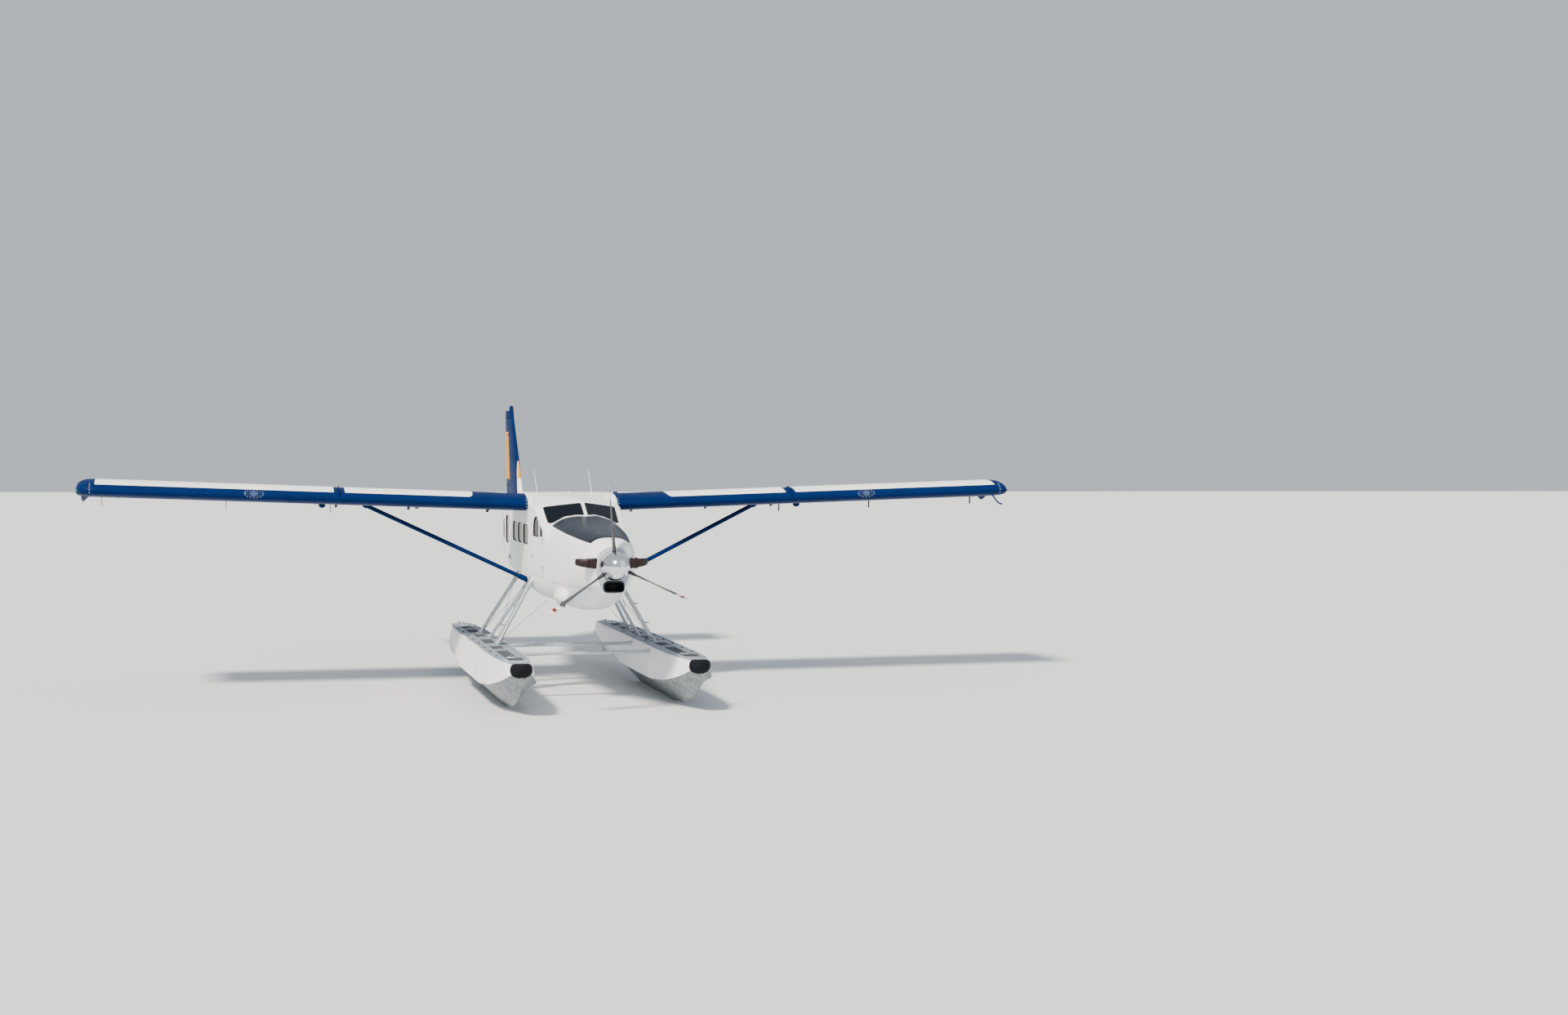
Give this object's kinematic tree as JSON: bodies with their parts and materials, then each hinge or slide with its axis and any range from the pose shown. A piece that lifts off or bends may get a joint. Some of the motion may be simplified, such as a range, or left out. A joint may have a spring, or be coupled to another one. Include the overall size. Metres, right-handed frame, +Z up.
{
  "type": "floatplane",
  "caption": "High-wing, strut-braced turboprop floatplane on twin straight floats, with a hollow cabin, doors, control surfaces and water rudders that move.",
  "frame": {"origin": "on the floor below the middle of the bounding box; the float keels stand at z = 0", "axes": "+X towards the aircraft's left wing tip, +Y towards the tail, +Z up"},
  "size_m": [17.69, 13.3, 5.4608],
  "materials": {
    "white_paint": "gloss white paint on aluminium",
    "navy_paint": "gloss navy paint on aluminium",
    "float_metal": "bare and white painted aluminium",
    "polished_metal": "polished",
    "dark_metal": "heat-darkened steel",
    "engine_metal": "plain",
    "blade_grey": "matt grey paint",
    "bumper_rubber": "moulded",
    "window_glass": "tinted acrylic",
    "cabin_trim": "moulded trim",
    "seat_cloth": "woven upholstery"
  },
  "bodies": {
    "airframe": {"cabin_shell": "white_paint", "cabin_bulkhead": "cabin_trim", "cabin_floor": "cabin_trim", "instrument_panel": "cabin_trim", "pilot_seat_left": "seat_cloth", "pilot_seat_right": "seat_cloth", "cabin_seats_left": "seat_cloth", "cabin_seats_right": "seat_cloth", "windshield_left": "window_glass", "windshield_right": "window_glass", "side_glass_left": "window_glass", "side_glass_right": "window_glass", "engine_cowl": "white_paint", "engine_block": "engine_metal", "intake_lip": "dark_metal", "exhaust_stack_left": "dark_metal", "exhaust_stack_right": "dark_metal", "oil_cooler_scoop": "white_paint", "tail_cone": "navy_paint", "tailplane": "white_paint", "finlet_upper_left": "navy_paint", "finlet_lower_left": "navy_paint", "finlet_upper_right": "navy_paint", "finlet_lower_right": "navy_paint", "fin": "navy_paint", "wing_left": "navy_paint", "wing_right": "navy_paint", "wing_strut_left": "navy_paint", "wing_strut_right": "navy_paint", "pitot_mast": "navy_paint", "float_left": "float_metal", "float_right": "float_metal", "bow_bumper_left": "bumper_rubber", "bow_bumper_right": "bumper_rubber", "float_strut_front_left": "float_metal", "float_strut_front_right": "float_metal", "float_strut_middle_left": "float_metal", "float_strut_middle_right": "float_metal", "float_strut_rear_left": "float_metal", "float_strut_rear_right": "float_metal", "spreader_bar_front": "float_metal", "spreader_bar_rear": "float_metal"},
    "propeller": {"spinner": "polished_metal", "propeller_blade_1": "blade_grey", "propeller_blade_2": "blade_grey", "propeller_blade_3": "blade_grey"},
    "rudder": {"rudder": "navy_paint"},
    "elevators": {"elevator_left": "navy_paint", "elevator_right": "navy_paint"},
    "aileron_left": {"aileron_left": "navy_paint"},
    "aileron_right": {"aileron_right": "navy_paint"},
    "flap_left": {"flap_left": "navy_paint"},
    "flap_right": {"flap_right": "navy_paint"},
    "water_rudder_left": {"water_rudder_left": "float_metal"},
    "water_rudder_right": {"water_rudder_right": "float_metal"},
    "cockpit_door_left": {"cockpit_door_left": "white_paint"},
    "cockpit_door_right": {"cockpit_door_right": "white_paint"},
    "cabin_door_left": {"cabin_door_left": "white_paint"},
    "cabin_door_right": {"cabin_door_right": "white_paint"}
  },
  "joints": [
    {"name": "propeller_spin", "type": "hinge", "parent": "airframe", "child": "propeller", "pos_m": [0, -6.31, 2.59], "axis": [0, 1, 0], "continuous": true},
    {"name": "rudder_hinge", "type": "hinge", "parent": "airframe", "child": "rudder", "pos_m": [0, 5.14, 2.46], "axis": [0, 0.3026, 0.9531], "range_deg": [-25, 25]},
    {"name": "elevator_hinge", "type": "hinge", "parent": "airframe", "child": "elevators", "pos_m": [0, 5.28, 3.32], "axis": [1, 0, 0], "range_deg": [-20, 25]},
    {"name": "aileron_left_hinge", "type": "hinge", "parent": "airframe", "child": "aileron_left", "pos_m": [4.385, -0.72416, 3.49112], "axis": [0.9994, 0, 0.0349], "range_deg": [-18, 18]},
    {"name": "aileron_right_hinge", "type": "hinge", "parent": "airframe", "child": "aileron_right", "pos_m": [-4.385, -0.72416, 3.49112], "axis": [0.9994, 0, -0.0349], "range_deg": [-18, 18]},
    {"name": "flap_left_hinge", "type": "hinge", "parent": "airframe", "child": "flap_left", "pos_m": [0.872, -0.7071, 3.30064], "axis": [0.9994, 0, 0.0349], "range_deg": [-40, 0]},
    {"name": "flap_right_hinge", "type": "hinge", "parent": "airframe", "child": "flap_right", "pos_m": [-0.872, -0.7071, 3.30064], "axis": [0.9994, 0, -0.0349], "range_deg": [-40, 0]},
    {"name": "water_rudder_left_hinge", "type": "hinge", "parent": "airframe", "child": "water_rudder_left", "pos_m": [1.54, 2.56, 0.6], "axis": [0, 0, 1], "range_deg": [-30, 30]},
    {"name": "water_rudder_right_hinge", "type": "hinge", "parent": "airframe", "child": "water_rudder_right", "pos_m": [-1.54, 2.56, 0.6], "axis": [0, 0, 1], "range_deg": [-30, 30]},
    {"name": "cockpit_door_left_hinge", "type": "hinge", "parent": "airframe", "child": "cockpit_door_left", "pos_m": [0.781, -3.377, 2.7], "axis": [0, 0, -1], "range_deg": [0, 80]},
    {"name": "cockpit_door_right_hinge", "type": "hinge", "parent": "airframe", "child": "cockpit_door_right", "pos_m": [-0.781, -3.377, 2.7], "axis": [0, 0, 1], "range_deg": [0, 80]},
    {"name": "cabin_door_left_hinge", "type": "hinge", "parent": "airframe", "child": "cabin_door_left", "pos_m": [0.838, 0.283, 2.7], "axis": [0, 0, -1], "range_deg": [0, 85]},
    {"name": "cabin_door_right_hinge", "type": "hinge", "parent": "airframe", "child": "cabin_door_right", "pos_m": [-0.838, 0.283, 2.7], "axis": [0, 0, 1], "range_deg": [0, 85]}
  ],
  "couplings": [
    {"joint": "aileron_right_hinge", "follows": "aileron_left_hinge", "ratio": -1},
    {"joint": "flap_right_hinge", "follows": "flap_left_hinge", "ratio": 1},
    {"joint": "water_rudder_right_hinge", "follows": "water_rudder_left_hinge", "ratio": 1}
  ]
}
